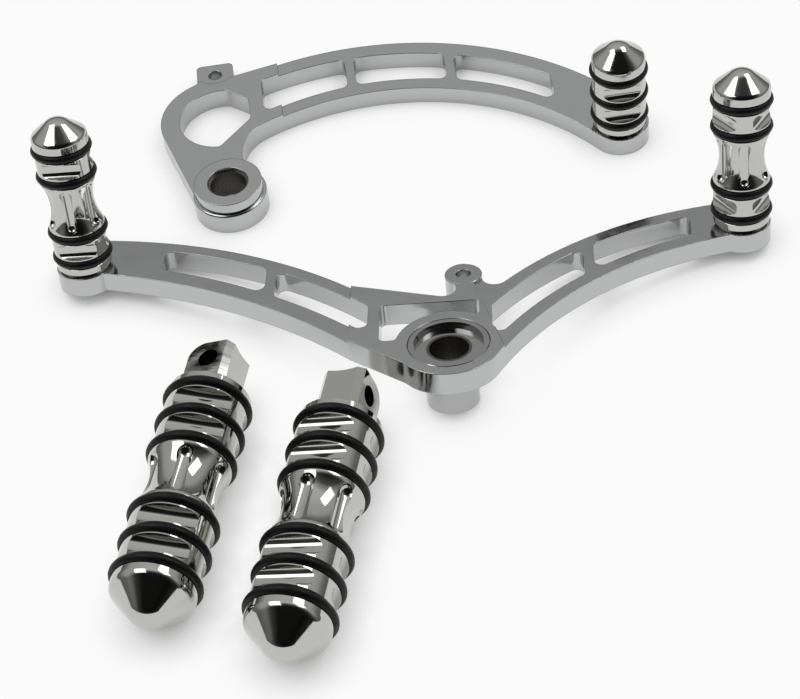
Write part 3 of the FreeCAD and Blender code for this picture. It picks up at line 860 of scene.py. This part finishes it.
@dataclass
class RingedPeg:
    """A bright turned peg with its rubber rings.

    side is the direction of its own Y axis, and turn the angle of its first pocket in degrees.
    """

    nodes: dict[str, bpy.types.Object]
    name: str
    rubber: bpy.types.Material
    form: PegForm
    side: Vector
    turn: float
    tongue: Tongue | None = None
    # The pin hole's dark colour is painted shade; its roughness is the dull drilled wall.
    bore_painted_shade_colour: str = "#2B2B2A"
    bore_roughness: float = 0.4
    rings: list[RubberRing] = field(default_factory=list)

    def gather(self) -> None:
        """Finds the peg's rings in order."""
        prefix = self.name + "_ring_"
        names = sorted(n for n in self.nodes if n.startswith(prefix))
        self.rings = [RubberRing(self.nodes[n], self.rubber) for n in names]

    def axis(self) -> Axis:
        """Finds the peg's axis.

        Returns:
            The line through the first and the last ring.
        """
        first = self.rings[0].axis().origin
        last = self.rings[-1].axis().origin
        return Axis(first, (last - first).normalized())

    def seat(self) -> Matrix:
        """Finds the peg's place.
        """
        axis = self.axis()
        z = axis.direction
        y = (self.side - z * self.side.dot(z)).normalized()
        basis = Matrix((y.cross(z), y, z)).transposed().to_4x4()
        foot = axis.origin - z * (self.form.rings[0] * MM)
        return Matrix.Translation(foot) @ basis @ Matrix.Scale(MM, 4)

    def bore_painted_shade_material(self) -> bpy.types.Material:
        """Returns the pin hole's material: its dark colour is painted shade, and its roughness is that
        of an unpolished drilled wall.
        """
        pin = Axis(self.axis().origin, self.side.normalized())
        return TurnedPolish(self.name + "_bore", pin, self.bore_painted_shade_colour,
                            self.bore_roughness).material()

    def build_metal(self) -> None:
        """Turns and mills the peg's body, and puts it in place of the plain one."""
        body = turned(self.form.outline())
        tools = self.form.cutters(math.radians(self.turn))
        if self.tongue:
            body = combined(body, self.tongue.block(), Joining.UNITE)
            tools += self.tongue.cutters()
        shape = combined(body, gathered(tools), Joining.CUT)
        if self.tongue:
            self.tongue.mark_bore(shape)
        bmesh.ops.transform(shape, verts=shape.verts[:], matrix=self.seat())
        finish = TurnedPolish(self.name + "_polish", self.axis()).material()
        piece = mesh_object(self.name + "_turned", shape, finish)
        # The second material paints shade into the pin hole.
        if self.tongue:
            piece.data.materials.append(self.bore_painted_shade_material())
        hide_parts(self.name)

    def build(self) -> None:
        """Makes the metal and the rings."""
        self.gather()
        self.build_metal()
        for ring in self.rings:
            ring.build()
        LOG.info("%s: %d rings", self.name, len(self.rings))


@dataclass
class Lever:
    """A plated lever with its pivot lining, sleeve and peg screws."""

    nodes: dict[str, bpy.types.Object]
    plate: str
    bush: str
    screws: tuple[str, ...]
    finishes: dict[Slot, bpy.types.Material]
    sleeve: str | None = None

    def build(self) -> None:
        """Dresses every piece of the lever."""
        dress(self.nodes[self.plate], self.finishes[Slot.LEVER])
        dress(self.nodes[self.bush], self.finishes[Slot.BUSH])
        for screw in self.screws:
            dress(self.nodes[screw], self.finishes[Slot.SCREW])
        if self.sleeve:
            dress(self.nodes[self.sleeve], self.finishes[Slot.SLEEVE])
        LOG.info("%s dressed", self.plate)


@dataclass
class BrakePivotEnd:
    """The round foot of the brake lever's boss and its squared rod tab, in millimetres."""

    nodes: dict[str, bpy.types.Object]
    finish: bpy.types.Material
    yaw: float = math.radians(0.5)
    foot_inner: float = 13.6
    foot_outer: float = 15.4
    foot_top: float = 9.15
    foot_round: float = 0.9
    foot_sides: int = 96
    corner_steps: int = 6
    tab_top: float = 6.5
    tab_lift: float = 0.05
    tab_left: float = -10.4
    tab_right: float = 5.6
    tab_low: float = 69.0
    tab_high: float = 85.0
    tab_corner: float = 2.2
    hole_at: tuple[float, float] = (-2.4, 78.0)
    hole_radius: float = 2.95
    hole_sides: int = 64
    drill_length: float = 26.0

    def seat(self) -> Matrix:
        """Finds the lever's place.
        """
        points = points_of(self.nodes["brake_pivot_bush"])
        middle = 0.5 * (points.min(0) + points.max(0))
        place = Matrix.Translation((middle[0], middle[1], 0.0))
        return place @ Matrix.Rotation(self.yaw, 4, "Z") @ Matrix.Scale(MM, 4)

    def boss_foot(self) -> bmesh.types.BMesh:
        """Makes the ring that widens the boss below its top.

        Returns:
            The ring.
        """
        r = self.foot_round
        outline = [(self.foot_inner, self.tab_lift), (self.foot_outer, self.tab_lift)]
        outline += arc((self.foot_outer - r, self.foot_top - r), r, 0.0, QUARTER_TURN,
                       self.corner_steps)
        outline += [(self.foot_inner, self.foot_top), (self.foot_inner, self.tab_lift)]
        return turned(outline, self.foot_sides)

    def rod_tab(self) -> bmesh.types.BMesh:
        """Makes the squared tab round the rod's eye.

        Returns:
            The tab with its hole.
        """
        r = self.tab_corner
        outline = [(self.tab_right, self.tab_low)]
        outline += arc((self.tab_right - r, self.tab_high - r), r, 0.0, QUARTER_TURN,
                       self.corner_steps)
        outline += arc((self.tab_left + r, self.tab_high - r), r, QUARTER_TURN, math.pi,
                       self.corner_steps)
        outline += [(self.tab_left, self.tab_low)]
        tab = slab([(x, y, self.tab_lift) for x, y in outline],
                   (0.0, 0.0, self.tab_top - self.tab_lift))
        bmesh.ops.recalc_face_normals(tab, faces=tab.faces[:])
        drill = round_bar(self.hole_radius, self.drill_length, self.hole_sides)
        bmesh.ops.translate(drill, verts=drill.verts[:], vec=(*self.hole_at, 0.0))
        return combined(tab, drill, Joining.CUT)

    def build(self) -> None:
        """Makes both pieces of the lever's pivot end."""
        for name, shape in (("brake_boss_foot", self.boss_foot()),
                            ("brake_rod_tab", self.rod_tab())):
            bmesh.ops.transform(shape, verts=shape.verts[:], matrix=self.seat())
            mesh_object(name, shape, self.finish)
        LOG.info("brake pivot end made")


@dataclass(frozen=True)
class LinkageEye:
    """The level round eye of the shift lever's linkage lug.
    """

    finish: bpy.types.Material
    middle: Vector = Vector((0.017481, 0.001644, 0.013544))
    way: Vector = Vector((0.023612, 0.211215, 0.977154))
    half: float = 4.6
    outer: float = 7.25
    hole: float = 2.95
    lift: float = 0.05
    proud: float = 0.02
    edge: float = 0.35
    sides: int = 96

    def build(self) -> None:
        """Turns the eye on the axis of its hole."""
        low = self.lift - self.half
        high = self.half + self.proud
        shape = turned([(self.hole, low), (self.outer, low), (self.outer, high - self.edge),
                        (self.outer - self.edge, high), (self.hole, high), (self.hole, low)],
                       self.sides)
        place = Axis(self.middle, self.way).seat() @ Matrix.Scale(MM, 4)
        bmesh.ops.transform(shape, verts=shape.verts[:], matrix=place)
        mesh_object("shift_lug_eye", shape, self.finish)
        LOG.info("shift linkage eye made")


@dataclass(frozen=True)
class Lamp:
    """A soft rectangular lamp that faces the middle of the table, in metres and watts."""

    name: str
    place: tuple[float, float, float]
    size: tuple[float, float]
    power: float

    def build(self) -> None:
        """Hangs the lamp."""
        light = bpy.data.lights.new(self.name, "AREA")
        light.shape = "RECTANGLE"
        light.size, light.size_y = self.size
        light.energy = self.power
        lamp = bpy.data.objects.new(self.name, light)
        lamp.location = self.place
        lamp.rotation_euler = (-Vector(self.place)).to_track_quat("-Z", "Y").to_euler()
        bpy.context.scene.collection.objects.link(lamp)


@dataclass(frozen=True)
class Studio:
    """A white table, a grey room that is dark behind the camera, and soft lamps overhead."""

    floor_half: float = 3.0
    floor_colour: str = "#F4F4F3"
    floor_glow: float = 0.92
    # The contact values paint a shadow into the floor's glow near the pieces.
    contact_reach: float = 0.018
    contact_samples: int = 8
    contact_span: tuple[float, float] = (0.1, 0.9)
    painted_shadow_glow: float = 0.1
    room_stops: tuple[tuple[float, float], ...] = ((0.0, 0.15), (0.2, 0.225), (0.42, 0.504),
                                                   (0.7, 0.56), (1.0, 0.8))
    dark_side: Vector = Vector((0.0, -0.72, 0.69))
    veil_stops: tuple[tuple[float, float], ...] = ((0.0, 1.0), (0.45, 0.9), (0.68, 0.12),
                                                   (0.85, 0.02), (1.0, 0.02))
    lamps: tuple[Lamp, ...] = (Lamp("overhead_left", (-0.7, 0.1, 1.3), (1.0, 0.7), 5.0),
                               Lamp("overhead_right", (0.8, 0.3, 1.2), (0.8, 0.55), 3.6))

    def build_floor(self) -> None:
        """Lays the table top, white to the eye and in reflections, with a faint shadow; near the
        pieces its glow is darkened by ambient occlusion, a painted contact shadow.
        """
        shape = bmesh.new()
        bmesh.ops.create_grid(shape, x_segments=1, y_segments=1, size=self.floor_half)
        mesh = bpy.data.meshes.new("table_top")
        shape.to_mesh(mesh)
        shape.free()
        material, tree = new_material("white_table")
        path = add_node(tree, "ShaderNodeLightPath").outputs
        seen = add_node(tree, "ShaderNodeMath",
                        {0: path["Is Camera Ray"], 1: path["Is Glossy Ray"]}, operation="MAXIMUM")
        either = add_node(tree, "ShaderNodeMath",
                          {0: seen.outputs[0], 1: path["Is Transmission Ray"]},
                          operation="MAXIMUM")
        # Ambient occlusion darkens the floor's glow near the pieces: a painted contact shadow.
        painted_contact_shadow = add_node(tree, "ShaderNodeAmbientOcclusion", {"Distance": self.contact_reach},
                        samples=self.contact_samples)
        glow_under_painted_shadow = add_node(tree, "ShaderNodeMapRange",
                              {"Value": painted_contact_shadow.outputs["AO"], "From Min": self.contact_span[0],
                               "From Max": self.contact_span[1], "To Min": self.painted_shadow_glow,
                               "To Max": self.floor_glow})
        share = add_node(tree, "ShaderNodeMath",
                         {0: either.outputs[0], 1: glow_under_painted_shadow.outputs["Result"]},
                         operation="MULTIPLY")
        plain = add_node(tree, "ShaderNodeBsdfDiffuse", {"Color": linear(self.floor_colour)})
        glow = add_node(tree, "ShaderNodeEmission", {"Color": (1.0, 1.0, 1.0, 1.0),
                                                     "Strength": 1.0})
        mix = add_node(tree, "ShaderNodeMixShader",
                       {0: share.outputs[0], 1: plain.outputs[0], 2: glow.outputs[0]})
        add_node(tree, "ShaderNodeOutputMaterial", {"Surface": mix.outputs[0]})
        mesh.materials.append(material)
        floor = bpy.data.objects.new("table_top", mesh)
        bpy.context.scene.collection.objects.link(floor)

    def build_room(self) -> None:
        """Gives the world a grey gradient with one dark side."""
        world = bpy.data.worlds.new("grey_room")
        bpy.context.scene.world = world
        world.use_nodes = True
        tree = world.node_tree
        tree.nodes.clear()
        way = add_node(tree, "ShaderNodeTexCoord").outputs["Generated"]
        axes = add_node(tree, "ShaderNodeSeparateXYZ", {0: way})
        rise = add_node(tree, "ShaderNodeValToRGB", {0: axes.outputs["Z"]})
        set_ramp(rise, self.room_stops)
        facing = add_node(tree, "ShaderNodeVectorMath",
                          {0: way, 1: self.dark_side.normalized()}, operation="DOT_PRODUCT")
        veil = add_node(tree, "ShaderNodeValToRGB", {0: facing.outputs["Value"]})
        set_ramp(veil, self.veil_stops)
        both = add_node(tree, "ShaderNodeMix",
                        {"Factor": 1.0, "A": rise.outputs["Color"], "B": veil.outputs["Color"]},
                        data_type="RGBA", blend_type="MULTIPLY")
        sky = add_node(tree, "ShaderNodeBackground",
                       {"Color": both.outputs["Result"], "Strength": 1.0})
        add_node(tree, "ShaderNodeOutputWorld", {"Surface": sky.outputs["Background"]})

    def build(self) -> None:
        """Builds the whole studio."""
        self.build_floor()
        self.build_room()
        for lamp in self.lamps:
            lamp.build()
        bpy.context.scene.view_settings.view_transform = "Standard"


@dataclass(frozen=True)
class Viewpoint:
    """The camera, at the place that fits the rings of all five pegs."""

    target: Vector = Vector((-0.01055, -0.01541, 0.0))
    distance: float = 0.82218
    pitch: float = math.radians(47.318)
    roll: float = -0.13845
    focal_px: float = 2133.4
    sensor_mm: float = 36.0

    def build(self) -> None:
        """Places the camera."""
        out = Vector((0.0, -math.cos(self.pitch), math.sin(self.pitch)))
        right = Vector((1.0, 0.0, 0.0))
        up = right.cross(-out)
        across = right * math.cos(self.roll) + up * math.sin(self.roll)
        top = across.cross(-out)
        data = bpy.data.cameras.new("viewpoint")
        data.sensor_fit = "HORIZONTAL"
        data.sensor_width = self.sensor_mm
        data.lens = self.focal_px * self.sensor_mm / PICTURE_WIDTH_PX
        camera = bpy.data.objects.new("viewpoint", data)
        basis = Matrix((across, top, out)).transposed().to_4x4()
        camera.matrix_world = Matrix.Translation(self.target + out * self.distance) @ basis
        bpy.context.scene.collection.objects.link(camera)
        bpy.context.scene.camera = camera


def main() -> None:
    logging.basicConfig(level=logging.INFO)
    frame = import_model()
    nodes = frame["nodes"]
    rubber = MouldedRubber().material()
    hub = axis_of(nodes["shift_pivot_bush"])
    sleeve = TurnedPolish("turned_sleeve", hub, colour="#A9AAA9", roughness=0.12)
    finishes = {Slot.LEVER: PlatedBillet().material(), Slot.BUSH: SinteredBronze().material(),
                Slot.SCREW: ZincSteel().material(), Slot.SLEEVE: sleeve.material()}
    # The sides that the pockets are turned from, and the directions of the foot pegs' pins.
    across_shift = Vector((0.0959, 0.9954, 0.0))
    across_brake = Vector((-0.0087, 1.0, 0.0))
    left_pin = Vector((0.298065, -0.081541, -0.951057))
    right_pin = Vector((0.916924, -0.271605, 0.292372))
    pegs = (("toe_peg", LONG_PEG, across_shift, 30.0, None),
            ("heel_peg", LONG_PEG, across_shift, 90.0, None),
            ("brake_peg", SHORT_PEG, across_brake, 30.0, None),
            ("left_footpeg", FOOT_PEG, left_pin, 5.0, Tongue()),
            ("right_footpeg", FOOT_PEG, right_pin, 55.0, Tongue()))
    for name, form, side, turn, tongue in pegs:
        RingedPeg(nodes, name, rubber, form, side, turn, tongue).build()
    Lever(nodes, "shift_lever", "shift_pivot_bush", ("toe_peg_screw", "heel_peg_screw"), finishes,
          "shift_pivot_sleeve").build()
    Lever(nodes, "brake_lever", "brake_pivot_bush", ("brake_peg_screw",), finishes).build()
    BrakePivotEnd(nodes, finishes[Slot.LEVER]).build()
    LinkageEye(finishes[Slot.LEVER]).build()
    Studio().build()
    Viewpoint().build()


if __name__ == "__main__":
    main()
